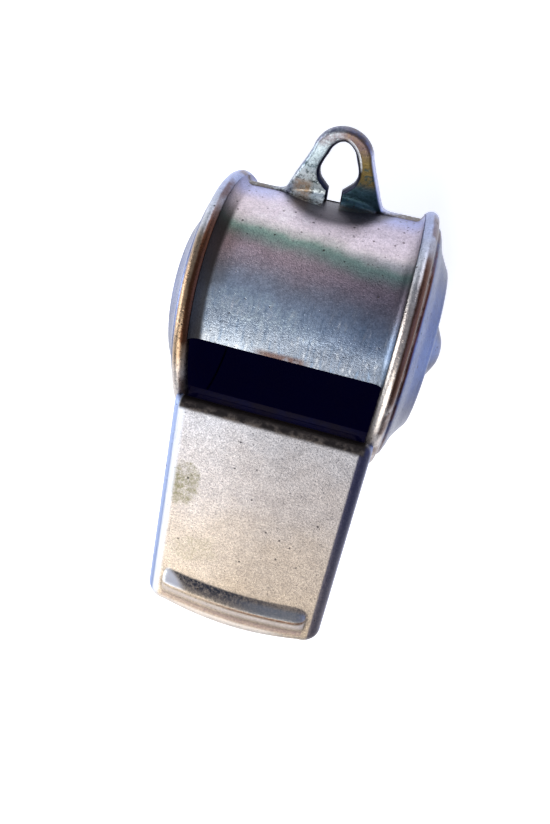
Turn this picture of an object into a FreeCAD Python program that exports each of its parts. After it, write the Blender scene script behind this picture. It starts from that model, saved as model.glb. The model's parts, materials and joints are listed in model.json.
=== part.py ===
import FreeCAD, Part
import math
import os
import Sketcher

# A referee's pea whistle. While it is being drawn the barrel's axis is the X axis, +Y points
# to the lanyard loop, -Y to the tip of the mouthpiece, and the mouthpiece's top is level.
# Every sub-part is then moved by the same Placement, which puts the whistle's lowest point
# on Z = 0 and the middle of its length on Y = 0.

SIZES = [
    # barrel
    ("barrel_radius", 10.2, "outside of the barrel strip"),
    ("metal", 0.5, "sheet thickness"),
    ("strip_reach", 7.3, "half width of the barrel strip"),
    ("flare", 0.65, "radius of the strip's turned-up edges"),
    ("lip_angle", 4.6, "edge of the window, forward of the top"),
    ("seam_angle", 89.0, "rear edge of the upper shell, back from the top"),
    ("seam_gap", 0.5, "angle left between the two shells"),
    ("front_angle", 36.0, "upper front edge of the lower shell, forward of the top"),
    # side caps
    ("rim_radius", 11.1, "outermost circle of the rolled rim"),
    ("bead_radius", 0.62, "radius of the rolled rim's section"),
    ("bead_plane", 8.0, "centre of the rolled rim from the middle of the whistle"),
    ("cone_edge", 10.5, "radius where the cone leaves the rim"),
    ("cap_inset", 0.12, "how far the cap's inside bends stand in from the outside ones"),
    ("cone_low", 0.85, "height of the cone over the rim plane, at its edge"),
    ("step_outer", 8.1, "radius at the foot of the step"),
    ("step_low", 1.85, "height at the foot of the step"),
    ("step_inner", 6.9, "radius at the top of the step"),
    ("step_high", 2.42, "height at the top of the step"),
    ("boss_foot", 2.75, "radius of the crease round the boss"),
    ("crease_high", 2.8, "height at the crease"),
    ("boss_high", 3.9, "height at the top of the boss"),
    ("boss_flat", 0.5, "radius of the small flat on the boss"),
    ("boss_dome", 3.4, "radius of the boss's dome"),
    # mouthpiece
    ("window_edge", 6.0, "front edge of the window, forward of the axis"),
    ("mouth_reach", 8.15, "half width of the mouthpiece"),
    ("tip_reach", 27.5, "middle of the tip, forward of the axis"),
    ("tip_arc", 24.4, "radius of the tip's edge in plan"),
    ("corner_round", 1.7, "radius of the tip's corners in plan"),
    ("edge_round", 0.95, "radius of the mouthpiece's long top edges"),
    ("jaw_back", 3.7, "underside carried back to the window, above the axis"),
    ("jaw_tip", 5.7, "underside at the tip, above the axis"),
    ("floor_inset", 0.35, "how far the floor's edge stays inside the tip"),
    ("lip_drop", 0.95, "depth of the turned-down edge at the window"),
    ("slit", 0.9, "height of the air slit"),
    ("ramp_foot", 5.15, "underside of the windway plate's foot, above the axis"),
    ("ramp_level", 3.0, "length of the windway plate's level part"),
    ("ramp_length", 9.0, "length of the windway plate"),
    ("ramp_foot_length", 0.6, "length of the windway plate's foot"),
    ("bite_crest", 3.4, "crest of the tooth ridge, back from the middle of the tip"),
    ("bite_arc", 35.0, "radius of the ridge's crest in plan"),
    ("bite_high", 0.8, "height of the tooth ridge"),
    ("bite_slope", 1.1, "width of the ridge's slope towards the window"),
    ("bite_hollow", 1.5, "radius of that slope's section"),
    ("bite_face", 1.9, "width and radius of the ridge's face towards the tip"),
    ("bite_end_round", 0.35, "rounding of the ridge's ends"),
    ("bite_sweep", 22.0, "angle that the ridge spans about its own centre"),
    ("joint_gap", 0.1, "solder gap between neighbouring sheets"),
    ("rim_gap", 0.02, "gap between the strip's side and the seat of the rolled rim"),
    # lanyard loop
    ("loop_pitch", 30.0, "rise of the loop's plane"),
    ("loop_sheet", 0.9, "thickness of the loop"),
    ("loop_round", 0.31, "rounding of the loop's edges"),
    ("loop_root", 0.2, "depth of the loop's root under the barrel's surface"),
    ("loop_lift", 0.6, "height of the loop's root over the axis"),
    ("loop_apex", 6.5, "far end of the loop from the seam"),
    ("loop_head", 2.4, "radius of the loop's far end"),
    ("loop_waist", 3.2, "half width where the arms start to flare"),
    ("loop_waist_at", 2.6, "distance of that waist from the seam"),
    ("loop_foot", 4.5, "half width of the loop's foot"),
    ("loop_foot_bend", 3.6, "radius of the flare at the foot"),
    ("flange_width", 0.25, "width of the flange along the seam"),
    ("flange_reach", 7.15, "half length of the flange"),
    ("eye_top", 5.4, "far end of the eye from the seam"),
    ("eye_head", 0.85, "radius at the far end of the eye"),
    ("eye_half", 1.5, "half width of the eye"),
    ("eye_wide_at", 3.0, "distance of the eye's widest place from the seam"),
    ("eye_shoulder_at", 1.75, "distance of the eye's shoulders from the seam"),
    ("eye_depth", 1.0, "depth of the cut that opens the eye, a little more than the loop's sheet"),
    ("slot_half", 0.55, "half width of the slot below the eye"),
    ("slot_foot_at", 0.45, "near end of the slot from the seam"),
    # pea
    ("pea_radius", 4.9, "radius of the cork pea"),
    ("pea_play", 0.2, "gap between pea and barrel"),
]

doc = FreeCAD.newDocument("PeaWhistle")
sheet = doc.addObject("Spreadsheet::Sheet", "Sizes")
for row, (alias, value, meaning) in enumerate(SIZES, start=1):
    sheet.set(f"A{row}", meaning)
    sheet.set(f"B{row}", str(value))
    sheet.setAlias(f"B{row}", alias)
doc.recompute()
ALIASES = {alias for alias, _, _ in SIZES}

# An edge is picked when its middle lies within CLOSE millimetres, or CLOSE_TURN degrees, of a place.
CLOSE = 0.01
CLOSE_TURN = 0.2


def bound(formula):
    """Turn size names in a formula into references to the sheet."""
    words = []
    word = ""
    for sign in formula + " ":
        if sign.isalnum() or sign == "_":
            word += sign
        else:
            words.append(f"Sizes.{word}" if word in ALIASES else word)
            words.append(sign)
            word = ""
    return "".join(words).strip()


def number(formula):
    """Value of a formula of size names."""
    value = sheet.evalExpression(bound(formula))
    return float(getattr(value, "Value", value))


def bind(thing, prop, formula):
    thing.setExpression(prop, bound(formula))


# ---------------------------------------------------------------- common steps

LENGTH_SHIFT = "(tip_reach - barrel_radius + loop_root - loop_apex * cos(loop_pitch * 1deg)) / 2"


def new_body(name):
    """A body with the Placement that every sub-part shares."""
    body = doc.addObject("PartDesign::Body", name)
    body.Label = name
    return stand(body)


def stand(thing):
    """Lift a sub-part onto the ground plane and centre the whistle's length."""
    bind(thing, "Placement.Base.y", LENGTH_SHIFT)
    bind(thing, "Placement.Base.z", "rim_radius")
    return thing


def new_sketch(body, name, role):
    """A sketch on one of the body's own origin planes."""
    sketch = body.newObject("Sketcher::SketchObject", name)
    plane = [item for item in body.Origin.OriginFeatures if item.Role == role][0]
    sketch.AttachmentSupport = (plane, "")
    sketch.MapMode = "FlatFace"
    return sketch


def settle(sketch, move=("0", "0", "0"), turn="0"):
    """Shift a sketch along its plane's own axes and turn it about the first of them."""
    sketch.AttachmentOffset = FreeCAD.Placement(
        FreeCAD.Vector(*[number(step) for step in move]),
        FreeCAD.Rotation(FreeCAD.Vector(1, 0, 0), number(turn)))
    for axis, step in zip("xyz", move):
        bind(sketch, f"AttachmentOffset.Base.{axis}", step)
    bind(sketch, "AttachmentOffset.Rotation.Angle", turn)


def arc_between(start, end, radius):
    """Arc from start to end, bulging to the right of the way for a positive radius."""
    run = end - start
    half = run.Length / 2
    side = FreeCAD.Vector(run.y, -run.x, 0).normalize()
    depth = math.sqrt(max(radius * radius - half * half, 0))
    centre = (start + end) / 2 - side * math.copysign(depth, radius)
    first, last = (start, end) if radius > 0 else (end, start)
    angles = [math.atan2(p.y - centre.y, p.x - centre.x) for p in (first, last)]
    circle = Part.Circle(centre, FreeCAD.Vector(0, 0, 1), abs(radius))
    return Part.ArcOfCircle(circle, angles[0], angles[1])


def trace(sketch, steps):
    """Draw a closed outline whose corners are bound to the sheet.

    A step (across, up) is a corner that is left along a straight line, and a step
    (across, up, radius, sign) is one that is left along an arc of that radius; the
    outline bulges outwards along the arc where the sign is +1."""
    places = [FreeCAD.Vector(number(step[0]), number(step[1]), 0) for step in steps]
    ends = []
    for index, step in enumerate(steps):
        start = places[index]
        end = places[(index + 1) % len(steps)]
        if len(step) == 2:
            ends.append((sketch.addGeometry(Part.LineSegment(start, end)), 1, 2))
            continue
        radius = number(step[2]) * step[3]
        item = sketch.addGeometry(arc_between(start, end, radius))
        ends.append((item, 1, 2) if radius > 0 else (item, 2, 1))
    for index, (item, first, last) in enumerate(ends):
        following = ends[(index + 1) % len(ends)]
        sketch.addConstraint(Sketcher.Constraint("Coincident", item, last, following[0], following[1]))
    for index, step in enumerate(steps):
        item, first, _ = ends[index]
        for kind, formula, value, axis in (
            ("DistanceX", step[0], places[index].x, -2),
            ("DistanceY", step[1], places[index].y, -1),
        ):
            if formula == "0":
                sketch.addConstraint(Sketcher.Constraint("PointOnObject", item, first, axis))
                continue
            made = sketch.addConstraint(Sketcher.Constraint(kind, -1, 1, item, first, value))
            bind(sketch, f"Constraints[{made}]", formula)
        if len(step) == 4:
            made = sketch.addConstraint(Sketcher.Constraint("Radius", item, abs(number(step[2]))))
            bind(sketch, f"Constraints[{made}]", step[2])


def mirrored(steps):
    """Right half of an outline, near end to far end, followed by the same half mirrored.

    A half that ends on the middle line shares that last corner with its mirror image."""
    outline = list(steps)
    back = len(steps) - 1
    if steps[-1][0] == "0":
        outline[-1] = steps[-1][:2] + steps[-2][2:]
        back -= 1
    for index in range(back, -1, -1):
        bend = steps[index - 1][2:] if index else ()
        outline.append((f"-({steps[index][0]})", steps[index][1]) + bend)
    return outline


def spin(body, kind, sketch, axis, angle, symmetric=False):
    """A revolution or groove of a sketch about one of the sketch's own axes."""
    turned = body.newObject(f"PartDesign::{kind}", f"{body.Name}_{kind}_{sketch.Name}")
    turned.Profile = sketch
    turned.ReferenceAxis = (sketch, [axis])
    turned.Midplane = symmetric
    bind(turned, "Angle", angle)
    return turned


def push(body, kind, sketch, length=None, symmetric=False, backward=False):
    """A pad or pocket of a sketch; a pocket without a length goes through everything."""
    pushed = body.newObject(f"PartDesign::{kind}", f"{body.Name}_{kind}_{sketch.Name}")
    pushed.Profile = sketch
    pushed.SideType = "Symmetric" if symmetric else "One side"
    pushed.Reversed = backward
    if length is None:
        pushed.Type = "ThroughAll"
    else:
        bind(pushed, "Length", length)
    return pushed


def round_edges(body, radius, chosen):
    """Fillet the edges of the body's solid whose middle point passes the test."""
    doc.recompute()
    base = body.Tip
    names = []
    for index, edge in enumerate(base.Shape.Edges, start=1):
        middle = edge.valueAt((edge.FirstParameter + edge.LastParameter) / 2)
        if chosen(middle, edge):
            names.append(f"Edge{index}")
    rounded = body.newObject("PartDesign::Fillet", f"{body.Name}_Fillet_{base.Name}")
    rounded.Base = (base, names)
    bind(rounded, "Radius", radius)
    return rounded


# ---------------------------------------------------------------- barrel shells

STRIP_SECTION = mirrored([
    ("strip_reach", "barrel_radius - metal"),
    ("strip_reach", "barrel_radius + flare", "flare", -1),
    ("strip_reach - flare", "barrel_radius"),
])


def make_upper_shell():
    """Barrel strip from the window's lip over the top to the seam, with the lanyard loop."""
    body = new_body("upper_shell")
    section = new_sketch(body, "upper_section", "XZ_Plane")
    settle(section, turn="lip_angle")
    trace(section, STRIP_SECTION)
    strip = spin(body, "Revolution", section, "H_Axis", "lip_angle + seam_angle")
    strip.Reversed = True

    flange = new_sketch(body, "loop_outline", "XY_Plane")
    tilt_on_seam(flange)
    trace(flange, mirrored([
        ("flange_reach", "0"),
        ("flange_reach", "flange_width"),
        ("loop_foot", "flange_width", "loop_foot_bend", -1),
        ("loop_waist", "loop_waist_at"),
        ("loop_head", "loop_apex - loop_head", "loop_head", 1),
        ("0", "loop_apex"),
    ]))
    push(body, "Pad", flange, "loop_sheet", symmetric=True)

    eye = new_sketch(body, "eye_outline", "XY_Plane")
    tilt_on_seam(eye)
    trace(eye, mirrored([
        ("slot_half", "slot_foot_at"),
        ("slot_half", "eye_shoulder_at"),
        ("eye_half", "eye_wide_at"),
        ("eye_head", "eye_top - eye_head", "eye_head", 1),
        ("0", "eye_top"),
    ]))
    push(body, "Pocket", eye, "eye_depth", symmetric=True)
    round_edges(body, "loop_round", on_loop_rim)
    return body


def tilt_on_seam(sketch):
    """Put a sketch's origin at the loop's root and tilt it to the loop's pitch."""
    settle(sketch, ("0", "barrel_radius - loop_root", "loop_lift"), "loop_pitch")


def on_loop_rim(middle, edge):
    """Edges of the loop's two faces, clear of the flange."""
    pitch = math.radians(number("loop_pitch"))
    reach = middle.y - number("barrel_radius - loop_root")
    rise = middle.z - number("loop_lift")
    along = reach * math.cos(pitch) + rise * math.sin(pitch)
    off = rise * math.cos(pitch) - reach * math.sin(pitch)
    on_face = abs(abs(off) - number("loop_sheet / 2")) < CLOSE
    return on_face and along > number("slot_foot_at") + CLOSE


def make_lower_shell():
    """Barrel strip from the seam under the barrel and up the front to the air slit."""
    body = new_body("lower_shell")
    section = new_sketch(body, "lower_section", "XZ_Plane")
    settle(section, turn="front_angle")
    trace(section, STRIP_SECTION)
    spin(body, "Revolution", section, "H_Axis", "360 - front_angle - seam_angle - seam_gap")
    return body


# ---------------------------------------------------------------- side caps

def make_side_cap(name, side):
    """Dished side with its rolled rim and central boss; side is +1 on the right."""
    body = new_body(name)
    section = new_sketch(body, f"{name}_section", "XZ_Plane")
    bead_in = "bead_plane - bead_radius"
    bead_out = "bead_plane + bead_radius"
    bead_mid = "rim_radius - bead_radius"
    outline = [
        ("bead_plane + boss_high", "0"),
        ("bead_plane + boss_high - metal", "0"),
        ("bead_plane + boss_high - metal", "boss_flat", "boss_dome - metal", 1),
        ("bead_plane + crease_high - metal", "boss_foot - metal"),
        ("bead_plane + crease_high - metal", "boss_foot"),
        ("bead_plane + step_high - metal", "step_inner - cap_inset"),
        ("bead_plane + step_low - metal", "step_outer - cap_inset"),
        ("bead_plane + cone_low - metal", "cone_edge - bead_radius"),
        ("bead_plane", "rim_radius - 2 * bead_radius", "bead_radius", -1),
        (bead_in, bead_mid, "bead_radius", -1),
        ("bead_plane", "rim_radius", "bead_radius", -1),
        (bead_out, bead_mid),
        ("bead_plane + cone_low", "cone_edge - bead_radius"),
        ("bead_plane + step_low", "step_outer"),
        ("bead_plane + step_high", "step_inner"),
        ("bead_plane + crease_high", "boss_foot", "boss_dome", -1),
        ("bead_plane + boss_high", "boss_flat"),
    ]
    if side < 0:
        outline = [(f"-({step[0]})",) + step[1:2] + flipped(step[2:]) for step in outline]
    trace(section, outline)
    spin(body, "Revolution", section, "H_Axis", "360")
    return body


def flipped(bend):
    """The same bend seen in a mirror."""
    return (bend[0], -bend[1]) if bend else ()


# ---------------------------------------------------------------- mouthpiece

SEAT_SECTION = mirrored([
    ("bead_plane + 2 * bead_radius", "0"),
    ("bead_plane + 2 * bead_radius", "rim_radius + joint_gap"),
    ("strip_reach + rim_gap", "rim_radius + joint_gap"),
    ("strip_reach + rim_gap", "barrel_radius + flare + joint_gap"),
    ("strip_reach - flare - joint_gap", "barrel_radius + joint_gap"),
])


def seat_on_barrel(body):
    """Cut away the room that the barrel and its rims take."""
    seat = new_sketch(body, f"{body.Name}_seat", "XZ_Plane")
    trace(seat, SEAT_SECTION)
    return spin(body, "Groove", seat, "H_Axis", "360")


TIP_CORNER = "(tip_reach - tip_arc + sqrt(tip_arc ^ 2 - mouth_reach ^ 2))"
RIDGE_CENTRE = "bite_arc + bite_crest - tip_reach"
JAW_END = "-(window_edge + metal + joint_gap)"
PAST_TIP = "-(tip_reach + metal)"


def make_mouthpiece_top():
    """Roof and skirts of the mouthpiece, its lip at the window and its tooth ridge."""
    body = new_body("mouthpiece_top")
    plan = new_sketch(body, "roof_plan", "XY_Plane")
    settle(plan, ("0", "0", "barrel_radius"))
    trace(plan, [
        ("mouth_reach", f"-{TIP_CORNER}"),
        ("mouth_reach", "-window_edge"),
        ("-mouth_reach", "-window_edge"),
        ("-mouth_reach", f"-{TIP_CORNER}", "tip_arc", 1),
    ])
    push(body, "Pad", plan, "barrel_radius - jaw_back", backward=True)
    round_edges(body, "corner_round", on_tip_corner)
    round_edges(body, "edge_round", on_roof_edge)

    hollow = new_sketch(body, "roof_hollow", "XY_Plane")
    settle(hollow, ("0", "0", "barrel_radius - metal"))
    trace(hollow, [
        ("mouth_reach - metal", PAST_TIP),
        ("mouth_reach - metal", "-(window_edge + metal)"),
        ("-(mouth_reach - metal)", "-(window_edge + metal)"),
        ("-(mouth_reach - metal)", PAST_TIP),
    ])
    push(body, "Pocket", hollow)

    under = new_sketch(body, "under_cut", "YZ_Plane")
    trace(under, [
        (PAST_TIP, "jaw_tip"),
        (PAST_TIP, "-jaw_back"),
        ("0", "-jaw_back"),
        ("0", "barrel_radius - lip_drop"),
        (JAW_END, "barrel_radius - lip_drop"),
        (JAW_END, "jaw_back"),
    ])
    push(body, "Pocket", under, symmetric=True)
    seat_on_barrel(body)

    ridge = new_sketch(body, "ridge_section", "YZ_Plane")
    trace(ridge, [
        ("-(bite_arc + bite_face)", "barrel_radius - metal / 2"),
        ("-(bite_arc - bite_slope)", "barrel_radius - metal / 2"),
        ("-(bite_arc - bite_slope)", "barrel_radius", "bite_hollow", 1),
        ("-bite_arc", "barrel_radius + bite_high", "bite_face", 1),
        ("-(bite_arc + bite_face)", "barrel_radius"),
    ])
    settle(ridge, (RIDGE_CENTRE, "0", "0"))
    spin(body, "Revolution", ridge, "V_Axis", "bite_sweep", symmetric=True)
    round_edges(body, "bite_end_round", on_ridge_end)
    return body


def on_tip_corner(middle, edge):
    """Upright edges at the two corners of the tip."""
    at_side = abs(abs(middle.x) - number("mouth_reach")) < CLOSE
    at_tip = middle.y < CLOSE - number(TIP_CORNER)
    upright = abs(edge.Vertexes[0].Z - edge.Vertexes[-1].Z) > CLOSE
    return at_side and at_tip and upright


def on_roof_edge(middle, edge):
    """Edges round the roof's top face, apart from the one at the window."""
    on_top = abs(middle.z - number("barrel_radius")) < CLOSE
    return on_top and middle.y < -number("window_edge") - CLOSE


def on_ridge_end(middle, edge):
    """Edges round the ridge's two end faces, above the roof."""
    away = middle.y - number(RIDGE_CENTRE)
    turn = math.degrees(math.atan2(abs(middle.x), -away))
    above = middle.z > number("barrel_radius + bite_end_round / 2")
    return above and abs(turn - number("bite_sweep / 2")) < CLOSE_TURN


def make_sloped_sheet(name, steps):
    """Sheet between the skirts, from its side outline."""
    body = new_body(name)
    side = new_sketch(body, f"{name}_side", "YZ_Plane")
    trace(side, steps)
    push(body, "Pad", side, "2 * (mouth_reach - metal - joint_gap)", symmetric=True)
    return body


def make_mouthpiece_floor():
    """Underside of the mouthpiece, rising a little towards the tip."""
    body = make_sloped_sheet("mouthpiece_floor", [
        (PAST_TIP, "jaw_tip"),
        (JAW_END, "jaw_back"),
        (JAW_END, "jaw_back + metal"),
        (PAST_TIP, "jaw_tip + metal"),
    ])
    trim = new_sketch(body, "floor_trim", "XY_Plane")
    trace(trim, [
        ("mouth_reach", f"floor_inset - {TIP_CORNER}"),
        ("mouth_reach", "-2 * tip_reach"),
        ("-mouth_reach", "-2 * tip_reach"),
        ("-mouth_reach", f"floor_inset - {TIP_CORNER}", "tip_arc", 1),
    ])
    push(body, "Pocket", trim, symmetric=True)
    seat_on_barrel(body)
    return body


def make_windway_plate():
    """Ramp that squeezes the breath into the thin slit under the window's front lip."""
    high = "barrel_radius - lip_drop - slit"
    foot = "window_edge + ramp_length"
    body = make_sloped_sheet("windway_plate", [
        ("-(window_edge - metal)", high),
        ("-(window_edge + ramp_level)", high),
        (f"-({foot})", "ramp_foot + metal"),
        (f"-({foot})", "ramp_foot"),
        (f"-({foot} - ramp_foot_length)", "ramp_foot"),
        ("-(window_edge + ramp_level - metal / 2)", f"{high} - metal"),
        ("-(window_edge - metal)", f"{high} - metal"),
    ])
    seat_on_barrel(body)
    return body


# ---------------------------------------------------------------- pea

def make_pea():
    """Cork ball lying at the bottom of the barrel."""
    pea = doc.addObject("Part::Sphere", "pea")
    pea.Label = "pea"
    bind(pea, "Radius", "pea_radius")
    bind(pea, "Placement.Base.y", LENGTH_SHIFT)
    bind(pea, "Placement.Base.z", "rim_radius - (barrel_radius - metal - pea_radius - pea_play)")
    return pea


parts = [
    make_upper_shell(),
    make_lower_shell(),
    make_side_cap("left_side_cap", -1),
    make_side_cap("right_side_cap", 1),
    make_mouthpiece_top(),
    make_mouthpiece_floor(),
    make_windway_plate(),
    make_pea(),
]
doc.recompute()

for item in doc.Objects:
    if "Invalid" in item.State or "Error" in item.State:
        raise RuntimeError(f"{item.Label} failed: {item.State}")
for item in parts:
    if item.Shape.isNull() or not item.Shape.isValid() or len(item.Shape.Solids) != 1:
        raise RuntimeError(f"{item.Label} is not one valid solid")

os.makedirs("parts", exist_ok=True)
for item in parts:
    item.Shape.exportStep(f"parts/{item.Label}.step")
    box = item.Shape.BoundBox
    print(item.Label, round(item.Shape.Volume, 2),
          [round(v, 2) for v in (box.XMin, box.XMax, box.YMin, box.YMax, box.ZMin, box.ZMax)])
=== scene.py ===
import math

import bmesh
import bpy
from mathutils import Matrix, Vector, noise
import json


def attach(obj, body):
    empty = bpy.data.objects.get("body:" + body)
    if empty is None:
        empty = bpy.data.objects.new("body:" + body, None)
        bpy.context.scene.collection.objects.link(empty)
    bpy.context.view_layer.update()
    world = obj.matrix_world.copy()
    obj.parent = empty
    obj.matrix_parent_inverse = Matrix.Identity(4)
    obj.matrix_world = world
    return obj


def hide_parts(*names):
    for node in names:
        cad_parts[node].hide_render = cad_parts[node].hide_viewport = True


# The look of a worn, nickel-plated brass pea whistle. Lengths in this file are millimetres
# measured from the barrel's axis, +Y towards the lanyard loop and +Z up; `to_row` turns them
# into the row frame's metres.

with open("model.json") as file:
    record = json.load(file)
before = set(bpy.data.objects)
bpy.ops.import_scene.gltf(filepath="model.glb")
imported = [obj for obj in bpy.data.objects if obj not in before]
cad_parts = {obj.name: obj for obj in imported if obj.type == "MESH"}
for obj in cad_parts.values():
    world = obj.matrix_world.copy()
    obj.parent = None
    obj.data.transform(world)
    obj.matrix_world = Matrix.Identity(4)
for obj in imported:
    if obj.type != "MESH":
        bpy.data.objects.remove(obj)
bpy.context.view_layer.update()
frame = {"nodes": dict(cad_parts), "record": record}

MM = 0.001
AXIS = Vector(frame["record"]["behaviour"]["joints"][0]["pos_m"])

# Barrel: outer radius, sheet, the strips' turned-up edges, and angles from the top.
BARREL = 10.2
METAL = 0.5
STRIP_HALF = 7.44
FLARE = 0.72
TONGUE = 8.3
TONGUE_TOP = 9.84
LIP_ANGLE = math.radians(-4.6)
SEAM_ANGLE = math.radians(89)
SEAM_GAP = math.radians(0.5)
FRONT_ANGLE = math.radians(-36)
INSIDE_MOUTH = math.radians(16)

# Side caps: the rolled rim and the boss.
RIM = 11.1
BEAD = 0.62
BEAD_PLANE = 8.0
BOSS = 3.9

# Mouthpiece: its back edge at the window, half width, tip, underside heights and roundings.
WINDOW = -6.0
MOUTH_HALF = 8.15
TIP_ARC = 24.4
TIP_CENTRE = -27.38 + TIP_ARC
JAW_BACK = 3.7
JAW_TIP = 5.7
CORNER_ROUND = 1.7
EDGE_ROUND = 0.95
LIP_DROP = 0.95
LIP_ROUND = 0.75

# Tooth ridge, on an arc like the tip's.
RIDGE_ARC = 35.0
RIDGE_CENTRE = -24.1 + RIDGE_ARC
RIDGE_HIGH = 0.8
RIDGE_SLOPE = 1.1
RIDGE_FACE = 1.9
RIDGE_HALF = 6.7
RIDGE_END = 1.1
RIDGE_BLUNT = 0.55

# Lanyard loop, and the bend where it leaves the barrel; the root is (Y, Z).
LOOP_PITCH = math.radians(30)
LOOP_SHEET = 0.9
LOOP_BEVEL = 0.36
LOOP_LEAN = 0.18
FOOT_HALF = 3.95
LOOP_ROOT = (BARREL - 0.2, 0.6)
SLOT_SIDE = 0.72

# Pea, with its running clearance to the barrel's wall.
PEA_RADIUS = 4.9
PEA_GAP = 0.2

CASE = "whistle_case"
PEA = "loose_pea"


def to_row(x, y, z):
    """Row-frame metres from barrel millimetres."""
    return Vector((x * MM, AXIS.y + y * MM, AXIS.z + z * MM))


def smoothstep(low, high, value):
    share = min(max((value - low) / (high - low), 0.0), 1.0)
    return share * share * (3 - 2 * share)


# ---------------------------------------------------------------- meshes

def mesh_piece(name, points, faces, materials, body, nodes, picks=None):
    """A shaded piece from points in barrel millimetres; picks gives each face's material."""
    mesh = bpy.data.meshes.new(name)
    mesh.from_pydata([to_row(*p) for p in points], [], faces)
    for material in materials:
        mesh.materials.append(material)
    if picks:
        mesh.polygons.foreach_set("material_index", picks)
    tidy = bmesh.new()
    tidy.from_mesh(mesh)
    bmesh.ops.remove_doubles(tidy, verts=tidy.verts, dist=0.0005 * MM)
    bmesh.ops.recalc_face_normals(tidy, faces=tidy.faces)
    tidy.to_mesh(mesh)
    tidy.free()
    mesh.polygons.foreach_set("use_smooth", [True] * len(mesh.polygons))
    mesh.set_sharp_from_angle(angle=math.radians(50))
    piece = bpy.data.objects.new(name, mesh)
    bpy.context.scene.collection.objects.link(piece)
    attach(piece, body)
    if nodes:
        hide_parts(*nodes)
    return piece


def dent(x, angle, radius):
    """Slight unevenness of hand-worn sheet, in millimetres."""
    where = Vector((x * 0.35, radius * math.sin(angle) * 0.35, radius * math.cos(angle) * 0.35))
    return 0.035 * noise.noise(where) + 0.012 * noise.noise(where * 4)


def turned(profile, start, stop, steps, wobble=1.0):
    """Points and faces of a closed (x, radius) profile turned about the barrel's axis."""
    whole = abs(stop - start) > math.tau - 1e-6
    rings = steps if whole else steps + 1
    count = len(profile)
    points = []
    for ring in range(rings):
        angle = start + (stop - start) * ring / steps
        for x, radius in profile:
            out = radius + wobble * dent(x, angle, radius) * min(radius / BARREL, 1) if radius else 0
            points.append((x, out * math.sin(angle), out * math.cos(angle)))
    faces = []
    for ring in range(steps):
        here = ring * count
        there = (ring + 1) % rings * count
        for i in range(count):
            j = (i + 1) % count
            faces.append((here + i, here + j, there + j, there + i))
    if not whole:
        faces.append(tuple(range(count)))
        faces.append(tuple(range((rings - 1) * count, rings * count)))
    return points, faces


def arc_points(centre, radius, start, stop, steps):
    """Points on an arc of the (x, radius) plane, angles in degrees."""
    points = []
    for step in range(steps + 1):
        angle = math.radians(start + (stop - start) * step / steps)
        points.append((centre[0] + radius * math.cos(angle), centre[1] + radius * math.sin(angle)))
    return points


def smooth_line(stations, steps):
    """Catmull-Rom line through the stations."""
    padded = [stations[0]] + list(stations) + [stations[-1]]
    line = []
    for i in range(1, len(padded) - 2):
        a, b, c, d = (Vector(p) for p in padded[i - 1:i + 3])
        for step in range(steps):
            t = step / steps
            line.append(tuple(0.5 * (2 * b + (c - a) * t + (2 * a - 5 * b + 4 * c - d) * t ** 2
                                     + (3 * b - a - 3 * c + d) * t ** 3)))
    line.append(tuple(stations[-1]))
    return line


def strip_profile():
    """Section of the barrel strip: turned-up edges over a tongue that reaches the side caps."""
    right = [(TONGUE, BARREL - METAL), (TONGUE, TONGUE_TOP), (STRIP_HALF, TONGUE_TOP)]
    right += arc_points((STRIP_HALF - FLARE, BARREL + FLARE), FLARE, -8, -90, 10)
    left = [(-x, r) for x, r in reversed(right)]
    top = [(5.9 - 0.59 * i, BARREL) for i in range(21)]
    bottom = [(-5.4 + 1.2 * i, BARREL - METAL) for i in range(10)]
    return right + top + left + bottom


def cap_profile(side):
    """Section of a dished side cap; heights are measured out from the bead's plane."""
    outer = smooth_line([
        (0.62, 10.02), (0.94, 9.88), (1.2, 9.3), (1.55, 8.3), (2.12, 7.35), (2.5, 6.7), (2.44, 5.9),
        (2.54, 4.9), (2.7, 3.7), (2.78, 3.0), (2.92, 2.62), (3.3, 1.95), (3.72, 1.1), (3.88, 0.4),
        (BOSS, 0.0),
    ], 6)
    bead = arc_points((0, RIM - BEAD), BEAD, 268, -8, 32)
    inner = [(high - METAL, max(radius - 0.15, 0.0)) for high, radius in reversed(outer[3:])]
    inner[0] = (BOSS - METAL, 0.0)
    line = inner + bead + outer[3:]
    return [(side * (BEAD_PLANE + high), radius) for high, radius in line]


def tip_edge(x):
    """Where the mouthpiece ends, as Y, at a distance x from the middle."""
    inside = MOUTH_HALF - CORNER_ROUND
    x = abs(x)
    if x <= inside:
        return TIP_CENTRE - math.sqrt(TIP_ARC ** 2 - x * x)
    level = TIP_CENTRE - math.sqrt(TIP_ARC ** 2 - inside ** 2)
    corner = level + CORNER_ROUND
    return corner - math.sqrt(max(CORNER_ROUND ** 2 - (x - inside) ** 2, 0))


def edge_drop(inset, radius):
    """Fall of a rounded edge at a distance inset from it."""
    if inset >= radius:
        return 0.0
    return radius - math.sqrt(max(radius ** 2 - (radius - max(inset, 0.0)) ** 2, 0.0))


def rim_distance(x, y):
    """Distance in plan from a point on the roof to its side or tip edge."""
    inside = MOUTH_HALF - CORNER_ROUND
    corner_y = tip_edge(inside) + CORNER_ROUND
    side = MOUTH_HALF - abs(x)
    tip = TIP_ARC - math.hypot(x, y - TIP_CENTRE) if y < TIP_CENTRE else math.inf
    if abs(x) > inside and y < corner_y:
        return CORNER_ROUND - math.hypot(abs(x) - inside, y - corner_y)
    return min(side, tip)


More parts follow.
